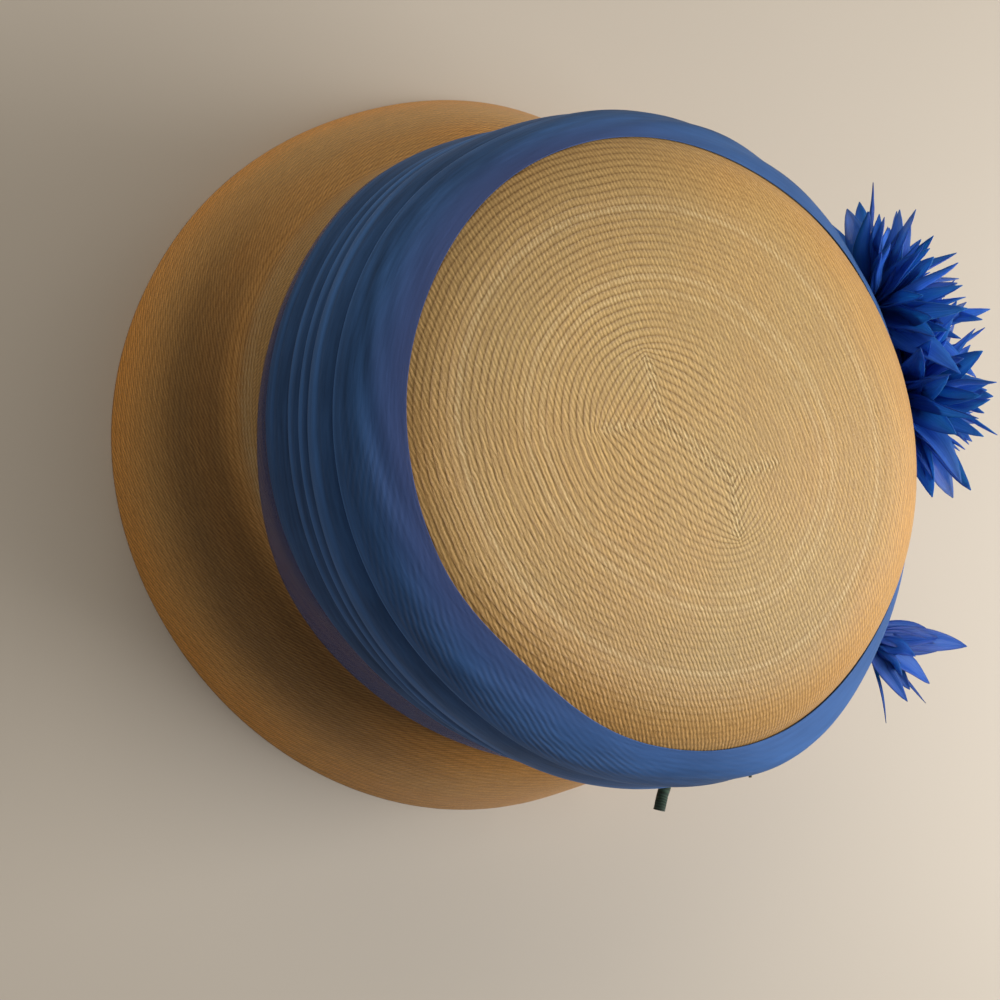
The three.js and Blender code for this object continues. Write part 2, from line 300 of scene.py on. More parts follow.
def piece_from(name, points, faces, uv, uv_name, attributes=None):
    """A mesh object at the origin from points in millimetres of the hat's own frame."""
    mesh = bpy.data.meshes.new(name)
    placed = points.reshape(-1, 3) / 1000 + ORIGIN
    mesh.from_pydata(placed.tolist(), [], [list(map(int, f)) for f in faces])
    layer = mesh.uv_layers.new(name=uv_name)
    layer.data.foreach_set("uv", np.ascontiguousarray(uv, np.float32).ravel())
    for key, values in (attributes or {}).items():
        data = mesh.attributes.new(key, "FLOAT", "POINT").data
        data.foreach_set("value", np.ascontiguousarray(values, np.float32).ravel())
    mesh.update()
    piece = bpy.data.objects.new(name, mesh)
    bpy.context.scene.collection.objects.link(piece)
    return piece


def select_only(piece):
    for other in bpy.context.selected_objects:
        other.select_set(False)
    piece.select_set(True)
    bpy.context.view_layer.objects.active = piece


def tidy_mesh(piece, distance=1e-6):
    """Merges what coincides and drops what has no area."""
    bm = bmesh.new()
    bm.from_mesh(piece.data)
    bmesh.ops.remove_doubles(bm, verts=bm.verts, dist=distance)
    bmesh.ops.dissolve_degenerate(bm, dist=distance / 10, edges=bm.edges)
    bm.to_mesh(piece.data)
    bm.free()


def shade_smooth(piece):
    select_only(piece)
    bpy.ops.object.shade_smooth()


def thicken(piece, thickness):
    """Gives a sheet its thickness, half on each side."""
    select_only(piece)
    solidify = piece.modifiers.new("Thickness", "SOLIDIFY")
    solidify.thickness = thickness
    solidify.offset = 0.0
    bpy.ops.object.modifier_apply(modifier=solidify.name)


class Nodes:
    """A material's node tree, with short calls for the nodes that the finishes use."""

    def __init__(self, name):
        self.material = bpy.data.materials.new(name)
        self.material.use_nodes = True
        self.tree = self.material.node_tree
        self.shader = self.tree.nodes["Principled BSDF"]

    def add(self, kind, **settings):
        node = self.tree.nodes.new(kind)
        for key, value in settings.items():
            setattr(node, key, value)
        return node

    def fill(self, socket, value):
        if hasattr(value, "is_output"):
            self.tree.links.new(value, socket)
        else:
            socket.default_value = value

    def put(self, node, **values):
        """Fills a node's inputs by name, with numbers or with the outputs of other nodes."""
        for key, value in values.items():
            self.fill(node.inputs[key.replace("_", " ")], value)
        return node

    def set(self, **values):
        self.put(self.shader, **values)

    def math(self, operation, a, b=0.0, c=0.0, clamp=False):
        node = self.add("ShaderNodeMath", operation=operation, use_clamp=clamp)
        for socket, value in zip(node.inputs, (a, b, c)):
            self.fill(socket, value)
        return node.outputs[0]

    def times(self, a, b, clamp=False):
        return self.math("MULTIPLY", a, b, clamp=clamp)

    def plus(self, a, b, clamp=False):
        return self.math("ADD", a, b, clamp=clamp)

    def wave(self, steps):
        """From 0 to 1 and back with each step."""
        sine = self.math("SINE", self.times(steps, 2 * math.pi))
        return self.math("MULTIPLY_ADD", sine, 0.5, 0.5)

    def from_middle(self, share):
        """From 1 at both ends of a share to 0 in its middle."""
        return self.math("ABSOLUTE", self.math("SUBTRACT", self.times(share, 2.0), 1.0))

    def combine(self, x, y, z=0.0):
        return self.put(self.add("ShaderNodeCombineXYZ"), X=x, Y=y, Z=z).outputs[0]

    def split(self, vector):
        return self.put(self.add("ShaderNodeSeparateXYZ"), Vector=vector).outputs[:3]

    def noise(self, vector, scale, detail, roughness=0.55):
        node = self.add("ShaderNodeTexNoise")
        self.put(node, Vector=vector, Scale=scale, Detail=detail, Roughness=roughness)
        return node.outputs["Fac"]

    def mix(self, factor, a, b, blend="MIX"):
        node = self.add("ShaderNodeMix", data_type="RGBA", blend_type=blend)
        self.fill(node.inputs["Factor"], factor)
        self.fill(node.inputs["A"], a if hasattr(a, "is_output") else (*a[:3], 1.0))
        self.fill(node.inputs["B"], b if hasattr(b, "is_output") else (*b[:3], 1.0))
        return node.outputs["Result"]

    def remap(self, value, low, high, new_low, new_high):
        node = self.put(self.add("ShaderNodeMapRange"), Value=value)
        self.put(node, From_Min=low, From_Max=high, To_Min=new_low, To_Max=new_high)
        return node.outputs["Result"]

    def attribute(self, name):
        return self.add("ShaderNodeAttribute", attribute_name=name).outputs["Fac"]

    def object_coordinates(self):
        return self.add("ShaderNodeTexCoord").outputs["Object"]

    def uv(self, name):
        return self.add("ShaderNodeUVMap", uv_map=name).outputs["UV"]

    def bump(self, height, distance, strength):
        node = self.add("ShaderNodeBump")
        self.put(node, Strength=strength, Distance=distance, Height=height)
        self.set(Normal=node.outputs["Normal"])

    def colour(self, value):
        self.set(Base_Color=value)


def straw_material(settings):
    """Rows of fine straw crossed by twill lines, browner along the folds and the edge from older
    straw and painted shade, with painted shade in the grooves, painted highlights on the crests,
    and a painted shadow and painted light on the brim.
    """
    n = Nodes("woven_straw")
    twill_place, row_place, _ = n.split(n.uv("Weave"))
    position = n.object_coordinates()
    wobble = n.math("SUBTRACT", n.noise(position, 330.0, 2.0), 0.5)
    slow = n.math("SUBTRACT", n.noise(position, 75.0, 2.0), 0.5)
    row_place = n.plus(row_place, n.times(slow, 0.7))
    twill_place = n.plus(twill_place, n.times(wobble, 0.8))

    # a row is round across, and its threads vary from line to line
    centred = n.from_middle(n.math("FRACT", row_place))
    row_height = n.math("SUBTRACT", 1.0, n.math("POWER", centred, 2.2))
    thread_map = n.combine(n.math("FLOOR", twill_place), n.times(row_place, 0.45))
    fibre_map = n.combine(n.times(twill_place, 3.0), n.times(row_place, 1.2))
    fibre = n.noise(fibre_map, 1.3, 4.0, 0.7)
    threads = n.remap(n.noise(thread_map, 1.7, 2.0, 0.6), 0.3, 0.7, 0.35, 1.3)
    threads = n.times(n.wave(twill_place), threads)
    threads = n.plus(threads, n.remap(fibre, 0.2, 0.8, -0.34, 0.34))
    threads = n.plus(threads, n.remap(n.noise(position, 1500.0, 2.0), 0.2, 0.8, -0.3, 0.3))

    seam, calm = n.attribute("seam"), n.attribute("calm")
    patch = n.remap(n.noise(position, 48.0, 3.0, 0.6), 0.3, 0.7, 0.55, 1.15)
    row_share = n.times(patch, n.remap(calm, 0.0, 1.0, 0.76, 0.06))
    twill_share = n.math("MULTIPLY_ADD", seam, 0.5, n.remap(calm, 0.0, 1.0, 0.52, 0.56))
    height = n.plus(n.times(row_height, row_share), n.times(threads, twill_share))
    middle = n.math("MULTIPLY_ADD", row_share, 0.62, n.times(twill_share, 0.42))
    relative = n.math("SUBTRACT", height, middle)

    # browner with age, and with painted shade at the crown's foot and on the brim
    patchy = n.remap(n.noise(position, 22.0, 4.0, 0.6), 0.2, 0.8, -0.16, 0.16)
    aged_and_shaded = n.plus(n.attribute("age_and_shade"), patchy, clamp=True)
    base = n.mix(aged_and_shaded, settings.colour, settings.shade)
    # painted shade in the grooves between rows and painted highlights on their crests: darker and
    # lighter copies of the straw, mixed by the relief
    dark = n.mix(1.0, base, (0.50, 0.42, 0.33), "MULTIPLY")
    light = n.mix(1.0, base, (1.38, 1.36, 1.32), "MULTIPLY")
    woven = n.mix(n.remap(relative, -0.62, 0.62, 0.0, 1.0), dark, light)
    # paler thread crests along the pale rings and the seams, and a painted highlight at the crown's
    # foot
    ringed = n.math("MAXIMUM", n.attribute("bright"), n.times(seam, 0.5))
    bright = n.times(ringed, n.times(row_height, threads))
    woven = n.mix(n.times(bright, 1.3, clamp=True), woven, (0.74, 0.59, 0.335))
    # the tone attribute: a painted shadow of the crown and painted light on the brim, and the tip's
    # browner edge
    toned = n.add("ShaderNodeVectorMath", operation="SCALE")
    n.put(toned, Vector=woven, Scale=n.attribute("tone"))
    n.colour(toned.outputs[0])
    n.set(Roughness=n.remap(fibre, 0.2, 0.8, 0.40, 0.62))
    n.set(Specular_IOR_Level=0.4, Sheen_Weight=0.06, Sheen_Roughness=0.4)
    n.bump(height, 0.00026, 0.75)
    return n.material


def chiffon_material(name, settings, cover):
    """Sheer cloth: slanted crinkles, fine threads, and more cover where it is folded, with painted
    shade in its creases and painted highlights on its crests, its lip and its crinkles.
    """
    n = Nodes(name)
    along, across, _ = n.split(n.uv("Cloth"))
    position = n.object_coordinates()
    streaks = n.noise(n.combine(n.times(along, 0.55), n.times(across, 7.0)), 1.0, 4.0, 0.6)
    wander = n.noise(position, 70.0, 2.0, 0.5)
    slant = n.plus(n.times(along, 1.5), n.times(across, 5.4))
    slant = n.plus(n.times(slant, 1.25), n.times(wander, 1.2))
    patch = n.remap(n.noise(position, 38.0, 3.0, 0.6), 0.38, 0.62, 0.15, 1.0)
    crinkle = n.times(n.times(n.wave(slant), patch), n.attribute("crinkle"))
    cloudy = n.noise(position, 30.0, 3.0, 0.5)
    layers = n.attribute("layers")

    # the fold attribute paints shade into the creases and the tuck and light onto the crests and
    # the lip, between a shaded and a lit copy of the chiffon's colour
    tone = n.plus(n.times(streaks, 0.55), n.times(cloudy, 0.45))
    unfolded = n.math("SUBTRACT", 0.68, n.attribute("fold"))
    tone = n.plus(n.remap(tone, 0.3, 0.7, 0.1, 0.55), unfolded, clamp=True)
    pale = tuple(min(c * 1.8 + 0.014, 1.0) for c in settings.colour)
    deep = tuple(c * 0.26 for c in settings.colour)
    folded = n.mix(tone, deep, pale)
    # painted highlights along the crinkles
    folded = n.mix(n.times(crinkle, 0.36), folded, (0.14, 0.19, 0.33))
    violet = n.times(n.remap(layers, 0.0, 1.0, 0.85, 0.0), n.attribute("tint"))
    n.colour(n.mix(violet, folded, (0.068, 0.094, 0.28)))
    n.set(Alpha=n.math("MULTIPLY_ADD", layers, 1.0 - cover, cover, clamp=True))
    n.set(Roughness=0.65, Specular_IOR_Level=0.2, Sheen_Weight=0.05, Sheen_Roughness=0.35)
    n.set(Sheen_Tint=(0.45, 0.62, 1.0, 1.0))
    n.bump(n.plus(n.times(streaks, 0.8), n.times(crinkle, 0.55)), 0.0005, 0.5)
    return n.material


def petal_material(settings):
    """Stiffened silk: veins along the petal, a dark cut edge, and a change from petal to petal."""
    n = Nodes("silk_petal")
    across, along, _ = n.split(n.uv("Petal"))
    shade = n.attribute("shade")
    off = n.from_middle(across)
    vein_map = n.combine(n.times(across, 9.0), n.times(along, 1.4), n.times(shade, 40.0))
    veins = n.noise(vein_map, 1.6, 3.0, 0.6)
    bright = tuple(min(c * 1.6 + 0.03, 1.0) for c in settings.colour)
    deep = tuple(c * 0.3 for c in settings.colour)
    silk = n.mix(n.remap(veins, 0.3, 0.7, 0.0, 1.0), settings.colour, bright)
    silk = n.mix(n.remap(shade, 0.0, 1.0, 0.0, 0.85), silk, deep)
    silk = n.mix(n.remap(along, 0.0, 0.42, 0.8, 0.0), silk, deep)
    thin = n.remap(shade, 0.0, 0.25, 1.0, 0.0)
    faded = n.times(thin, n.remap(along, 0.35, 0.9, 0.0, 0.55))
    silk = n.mix(faded, silk, (0.13, 0.26, 0.74))
    edge = n.math("MAXIMUM", n.math("POWER", off, 5.0), n.remap(along, 0.86, 1.0, 0.0, 1.0))
    n.colour(n.mix(n.times(edge, 0.5), silk, settings.edge))
    n.set(Alpha=n.remap(thin, 0.0, 1.0, 1.0, 0.58))
    n.set(Roughness=0.55, Specular_IOR_Level=0.22, Sheen_Weight=0.06, Sheen_Roughness=0.3)
    n.set(Sheen_Tint=(0.4, 0.6, 1.0, 1.0), Subsurface_Weight=0.35, Subsurface_Scale=0.004)
    n.set(Subsurface_Radius=(0.3, 0.5, 1.0))
    ridge = n.math("SUBTRACT", 1.0, off)
    n.bump(n.plus(veins, n.times(ridge, 0.3)), 0.0004, 0.5)
    return n.material


def stem_material():
    """Cotton thread wound round wire."""
    n = Nodes("wrapped_stem")
    along, _, _ = n.split(n.uv("Stem"))
    grain = n.noise(n.object_coordinates(), 900.0, 3.0)
    mixed = n.plus(n.times(n.wave(along), 0.7), n.times(grain, 0.5))
    n.colour(n.mix(mixed, (0.004, 0.012, 0.008), (0.03, 0.075, 0.045)))
    n.set(Roughness=0.85, Sheen_Weight=0.2)
    n.bump(mixed, 0.0003, 0.7)
    return n.material


def floor_material():
    """Matt painted board."""
    n = Nodes("pale_floor")
    cloudy = n.noise(n.object_coordinates(), 3.0, 4.0)
    fine = n.noise(n.object_coordinates(), 400.0, 2.0)
    n.colour(n.mix(cloudy, (0.52, 0.475, 0.415), (0.56, 0.515, 0.455)))
    n.set(Roughness=0.6, Specular_IOR_Level=0.25)
    n.bump(fine, 0.0001, 0.1)
    return n.material


COLUMNS = 240
STRAW_AZIMUTHS = np.arange(COLUMNS) * 2 * np.pi / COLUMNS
STEPS_PER_ROW = 4  # rings of the mesh to each woven row
INSIDE_RINGS = 46
EDGE_RINGS, BRIM_RINGS = 60, 110  # the crown's round edge, and the foot of the crown and the brim
BRIM_ROWS = 20
EDGE_TURN = math.radians(84)  # how far the crown's edge turns from the tip to the side
FOOT_TURN = math.radians(50)  # and how far its foot turns out into the brim

TWILL_ACROSS = (0.853, -0.543)  # across the twill lines on the tip
# Round the tip, the side and the brim: the twill's spacing as a share of its pitch, and the lines
# that it shifts by from row to row
TWILL_SPACING = (1.0, 1.05, 1.9)
TWILL_SLANT = np.array([0.0, -1.1, 2.0])
# Pale rings: distance from the start of the weave, width and strength
PALE_RINGS = ((38.5, 1.2, 0.42), (33.8, 1.0, 0.30), (56.5, 1.2, 0.42))


def facing(degrees, low, high):
    """1 on the side of the hood that faces an azimuth, and 0 away from it, for each column."""
    return smoothstep(low, high, np.cos(STRAW_AZIMUTHS - math.radians(degrees)))[None, :]


def rows_hidden():
    """Where the twill lines hide the rows: all round but at the front left."""
    return 1 - facing(25, 0.0, 0.7)


def tip_rings(row_pitch):
    """The tip of the crown: rows start as straight lines round a ridge and become ovals."""
    azimuth = STRAW_AZIMUTHS
    flat = crown_oval(CROWN_SHOULDER, azimuth) - EDGE_RADIUS
    edge = np.stack([flat * np.cos(azimuth), flat * np.sin(azimuth)], -1)  # front, left
    count = int(round(FLAT_RUN / row_pitch * STEPS_PER_ROW))
    share = (np.arange(count + 1) / count)[:, None]
    ridge_x = np.clip(edge[:, 0], -RIDGE_HALF, RIDGE_HALF)
    out = edge - np.stack([ridge_x, np.zeros(COLUMNS)], -1)
    length = np.hypot(out[:, 0], out[:, 1])
    direction = out / length[:, None]
    square = np.max(np.abs(direction), axis=1)
    distance = share * FLAT_RUN
    weight = 1 - smoothstep(9.0, 22.0, distance)
    reach = share * length / square**weight
    front = ridge_x + RIDGE_SHIFT * (1 - share) + direction[:, 0] * reach
    left = direction[:, 1] * reach
    far = np.hypot(front, left) / np.maximum(flat, 1e-6)
    height = CROWN_HEIGHT + DOME_RISE * (1 - np.clip(far, 0, 1) ** 2)
    points = np.stack([left, -front, height], -1)
    corner = np.abs(np.abs(direction[:, 0]) - np.abs(direction[:, 1]))[None, :]
    hip = np.exp(-((corner * distance / 2.2) ** 2)) * (distance < 15)
    ridge = np.exp(-((distance / 1.6) ** 2)) * np.ones(COLUMNS)
    seam = np.maximum(hip, ridge)
    return points, np.broadcast_to(distance / row_pitch, seam.shape), seam


def outer_side(row_pitch):
    """The outside from the tip's edge to the rim: rings of (radius, height), and their rows."""
    azimuth = STRAW_AZIMUTHS[None, :]
    side = CROWN_HEIGHT - EDGE_RADIUS
    top, base = crown_oval(CROWN_SHOULDER, azimuth), crown_oval(CROWN_BASE, azimuth)
    rings, places = [], []

    # the round edge
    place_now = FLAT_RUN / row_pitch
    arc = EDGE_RADIUS * EDGE_TURN
    count = int(round(arc / row_pitch * STEPS_PER_ROW))
    for i in range(1, count + 1):
        turn = EDGE_TURN * i / count
        height = side + EDGE_RADIUS * math.cos(turn)
        rings.append((top - EDGE_RADIUS * (1 - math.sin(turn)), height * np.ones_like(top)))
        places.append(place_now + arc / row_pitch * i / count)

    # the side, whose upper part is hidden by the band and has few rings
    place_now += arc / row_pitch
    start = rings[-1][1][0, 0]
    upper, lower = np.linspace(start, 24, 14)[1:], np.linspace(24, BREAK_RADIUS, 35)[1:]
    for height in np.concatenate([upper, lower]):
        radius = base + (height / side) * (top - base)
        if height > side:
            rise = (height - side) / EDGE_RADIUS
            radius = np.minimum(radius, top - EDGE_RADIUS * (1 - np.sqrt(1 - rise**2)))
        rings.append((radius, height * np.ones_like(top)))
        places.append(place_now + (start - height) / row_pitch)

    # the turn into the brim
    place_now += (start - BREAK_RADIUS) / row_pitch
    root, root_height = rings[-1]
    count = int(round(BREAK_RADIUS * FOOT_TURN / row_pitch * STEPS_PER_ROW))
    for i in range(1, count + 1):
        turn = FOOT_TURN * i / count
        out, down = BREAK_RADIUS * (1 - math.cos(turn)), BREAK_RADIUS * math.sin(turn)
        rings.append((root + out, root_height - down))
        places.append(place_now + BREAK_RADIUS * turn / row_pitch)

    # the brim
    place_now = places[-1]
    root, root_height = rings[-1]
    edge = brim_edge(azimuth)
    slant = float(np.hypot(edge - root, root_height + BRIM_DROP).mean()) * 1.02
    count = int(round(slant / row_pitch * STEPS_PER_ROW))
    curve = through(BRIM_CURVE, 400)
    run_along = np.concatenate([[0], np.cumsum(np.hypot(*np.diff(curve, axis=0).T))])
    for i in range(1, count + 1):
        s = run_along[-1] * i / count
        out, down = (np.interp(s, run_along, curve[:, c]) for c in (0, 1))
        rings.append((root + (edge - root) * out, root_height - (root_height + BRIM_DROP) * down))
        places.append(place_now + slant / row_pitch * i / count)
    return rings, places


def grid_normals(points):
    """Outward unit normals of a closed grid whose rings run from the tip to the rim."""
    around_it = np.roll(points, -1, axis=1) - np.roll(points, 1, axis=1)
    along = np.gradient(points, axis=0)
    normal = np.cross(around_it, along)
    size = np.linalg.norm(normal, axis=-1, keepdims=True)
    normal = np.where(size > 1e-9, normal / np.maximum(size, 1e-9), [0, 0, 1.0])
    outward = points * [1, 1, 0] + [0, 0, 40]
    flip = np.sign((normal * outward).sum(-1, keepdims=True))
    return normal * np.where(flip == 0, 1, flip)


def hood_grid(settings):
    """The hood's closed grid of points, the row that each lies on, and the seams of the tip.

    The woven outside comes first, with its rows in relief, then the rim and the inside.
    """
    pitch = settings.row_pitch * 1000
    tip, tip_places, tip_seam = tip_rings(pitch)
    side_rows, side_places = outer_side(pitch)
    side = np.stack([place(STRAW_AZIMUTHS, r[0], h[0]) for r, h in side_rows])
    smooth = np.concatenate([tip, side])
    places = np.concatenate([tip_places, np.repeat(np.array(side_places)[:, None], COLUMNS, 1)])
    normals = grid_normals(smooth)

    depth = settings.relief * 1000
    fade = np.minimum(1, places / 1.2)
    fade = fade * (1 - 0.6 * rows_hidden() * smoothstep(7, 14, places))
    relief = -depth * (1 - np.abs(np.sin(np.pi * places))) ** 1.4 * fade
    sway = 0.35 * waves(STRAW_AZIMUTHS, 3, 4, 2)[None, :] * smoothstep(60, 75, places)
    outside = smooth + normals * relief[..., None]
    outside[..., :2] *= 1 + (sway / 110)[..., None]

    # the rim turns under, and the inside follows the outside one wall's thickness in
    picks = np.unique(np.linspace(0, len(outside) - 1, INSIDE_RINGS).astype(int))[::-1]
    inside = (smooth - normals * WALL)[picks]
    outward_unit = place(STRAW_AZIMUTHS, 1.0, 0.0)
    inside[0] = outside[-1] - outward_unit * RIM_WIDTH
    under = outside[-1] - outward_unit * RIM_WIDTH / 2
    points = np.concatenate([outside, under[None], inside])
    points[..., 2] = np.maximum(points[..., 2], -BRIM_DROP)
    places = np.concatenate([places, places[-1:] + 0.4, places[picks]])
    seam = np.concatenate([tip_seam, np.zeros((len(points) - len(tip), COLUMNS))])
    return points, places, seam, len(outside), tip[-1]


def twill_map(points, places, outer_rings, tip_edge, pitch, twill):
    """The grid's faces, and the twill line and the row at each of their corners.

    Twill lines stay straight on the tip and run on over its round edge as if that were laid flat.
    On the side and the brim they wind round at slants of their own.
    """
    rings = len(points)
    faces, i, k = grid_faces(rings, COLUMNS, True)
    over = np.maximum(places - FLAT_RUN / pitch, 0)[..., None] * pitch
    laid_flat = tip_edge[None, :, :2] + place(STRAW_AZIMUTHS, 1.0, 0.0)[None, :, :2] * over
    laid_flat = np.where(over > 0, laid_flat, points[..., :2])
    straight = laid_flat[..., 1] * TWILL_ACROSS[1] + laid_flat[..., 0] * TWILL_ACROSS[0]

    ring_length = np.linalg.norm(np.roll(points, -1, axis=1) - points, axis=-1)
    walked = np.concatenate([np.zeros((rings, 1)), np.cumsum(ring_length, axis=1)], axis=1)
    share = walked / walked[:, -1:]
    zone_starts = [0, int(FLAT_RUN / pitch * STEPS_PER_ROW) + EDGE_RINGS, outer_rings - BRIM_RINGS]
    zone = np.searchsorted(zone_starts, i, side="right") - 1
    strands = np.array([
        round(float(walked[start + 4, -1]) / (twill * spacing))
        for start, spacing in zip(zone_starts, TWILL_SPACING)
    ])

    # the faces are turned to point outwards, so their corners start at the next column
    ring = np.stack([i, i + 1, i + 1, i], -1)
    column = np.stack([k + 1, k + 1, k, k], -1)
    rows = places[ring, column % COLUMNS]
    winding = share[ring, column] * strands[zone][:, None] + TWILL_SLANT[zone][:, None] * rows
    across = np.where((zone == 0)[:, None], straight[ring, column % COLUMNS] / twill, winding)
    return faces[:, ::-1], np.stack([across, rows], -1)


def straw_marks(places, outer_rings, pitch):
    """How old, pale, pressed and toned the straw is at each point of the hood, with painted shade
    and painted light in its age, its paleness and its tone.
    """
    reach = places * pitch
    tip_rows = FLAT_RUN / pitch
    rim_row = float(places[outer_rings - 1, 0])
    brim_start = rim_row - BRIM_ROWS
    beyond = (places - brim_start) * pitch
    inner = np.zeros((len(places), 1))
    inner[outer_rings:] = 1

    # browner straw at the crown's edge and foot and towards the rim: older straw, with painted
    # shade in the turn into the brim and painted warm shade on the brim
    rear_left = 0.5 + 0.5 * np.cos(STRAW_AZIMUTHS - math.radians(160))[None, :]
    age_and_shade = 0.08 + (0.12 + 0.30 * rear_left) * smoothstep(tip_rows - 3, tip_rows + 9, places)
    age_and_shade = age_and_shade + 0.35 * np.exp(-(((places - brim_start + 1) / 5.0) ** 2))
    age_and_shade = age_and_shade + 0.35 * smoothstep(rim_row - 9, rim_row, places)
    age_and_shade = age_and_shade + 0.22 * smoothstep(brim_start, brim_start + 4, places)
    age_and_shade = np.clip(age_and_shade + 0.05 * waves(STRAW_AZIMUTHS, 11, 5, 1)[None, :], 0, 1)
    age_and_shade = np.minimum(np.clip(age_and_shade + 0.1 * inner, 0, 1), 1 - 0.25 * rear_left)

    # rows that hardly show: one side of the start, where the straw is pressed flat, and the brim
    pressed = facing(222, 0.55, 0.9) * smoothstep(1.5, 5, reach) * (1 - smoothstep(22, 34, reach))
    fine = rows_hidden() * smoothstep(7, 14, places)
    fine = fine * (1 - smoothstep(brim_start - 12, brim_start, places))
    calm = np.maximum(0.8 * pressed, 0.66 * smoothstep(brim_start - 4, brim_start + 1, places))
    calm = np.maximum(calm, 0.66 * fine)

    # painted shadow of the crown on the brim next to it at the front left, and painted light on
    # the brim's outer part
    front_left = facing(52, 0.45, 0.95)
    tone = 1 - 0.48 * front_left * smoothstep(-4, 4, beyond) * (1 - smoothstep(14, 30, beyond))
    tone = tone + 0.34 * facing(20, 0.0, 0.8) * smoothstep(24, 38, beyond) * (1 - inner)
    # the tip's edge is browner at the front and at the left
    tip_edge = smoothstep(tip_rows - 13, tip_rows + 2, places) * (1 - inner)
    above = 1 - smoothstep(tip_rows + 12, tip_rows + 22, places)
    browner = 0.20 * facing(352, 0.3, 0.9) + 0.10 * facing(118, 0.3, 0.95)
    tone = tone - browner * tip_edge * above
    # painted light on the middle of the brim at the front
    tone = tone + 0.16 * smoothstep(12, 24, beyond) * (1 - inner) * facing(350, 0.2, 0.9)

    # pale rings round the tip, and straw that catches the light at the crown's foot
    bright = sum(
        strength * np.exp(-(((reach - distance) / width) ** 2))
        for distance, width, strength in PALE_RINGS
    )
    lit = np.exp(-(((beyond + 10) / 5.0) ** 2)) * front_left
    bright = np.maximum(bright * (1 - inner), 0.7 * lit)
    return {"age_and_shade": age_and_shade, "bright": bright, "calm": calm, "tone": tone}


def build_straw(settings):
    """Crown and brim in one: the woven outside with its rows in relief, the rim and the inside."""
    pitch, twill = settings.row_pitch * 1000, settings.twill_pitch * 1000
    points, places, seam, outer_rings, tip_edge = hood_grid(settings)
    faces, uv = twill_map(points, places, outer_rings, tip_edge, pitch, twill)
    marks = {**straw_marks(places, outer_rings, pitch), "seam": seam}
    piece = piece_from("straw_hood", points, faces, uv, "Weave", marks)
    tidy_mesh(piece)
    shade_smooth(piece)
    piece.data.materials.append(straw_material(settings))
    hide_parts("straw_body")
    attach(piece, "root")


CLOTH_COLUMNS = 480
CLOTH_AZIMUTHS = np.arange(CLOTH_COLUMNS) * 2 * np.pi / CLOTH_COLUMNS
CLOTH_SEAM_COLUMN = 290  # behind the large flowers


def cloth_ring(name, heights, lifts, marks, settings, cover, node):
    """A ring of chiffon from grids of heights and lifts, whose columns run round the crown."""
    points = on_crown(CLOTH_AZIMUTHS[None, :], heights, lifts)
    tint = 0.25 + 0.75 * smoothstep(-0.1, 0.75, np.cos(CLOTH_AZIMUTHS - math.radians(20)))
    marks = {**marks, "tint": tint[None, :] * np.ones_like(lifts)}
    rings = len(points)
    faces, i, k = grid_faces(rings, CLOTH_COLUMNS, True)
    across = np.linalg.norm(np.diff(points, axis=0), axis=-1).sum(0).mean()
    around_it = np.linalg.norm(np.roll(points, -1, axis=1) - points, axis=-1).sum(1).mean()
    turned = (k - CLOTH_SEAM_COLUMN) % CLOTH_COLUMNS
    along = np.stack([turned, turned, turned + 1, turned + 1], -1) / CLOTH_COLUMNS * around_it
    over = np.stack([i, i + 1, i + 1, i], -1) / (rings - 1) * across
    piece = piece_from(name, points, faces, np.stack([along, over], -1) / 10, "Cloth", marks)
    thicken(piece, settings.thickness)
    shade_smooth(piece)
    piece.data.materials.append(chiffon_material(name + "_cloth", settings, cover))
    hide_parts(node)
    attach(piece, "root")


def band_height(shares):
    return around(shares, CLOTH_AZIMUTHS)[None, :] * CROWN_HEIGHT


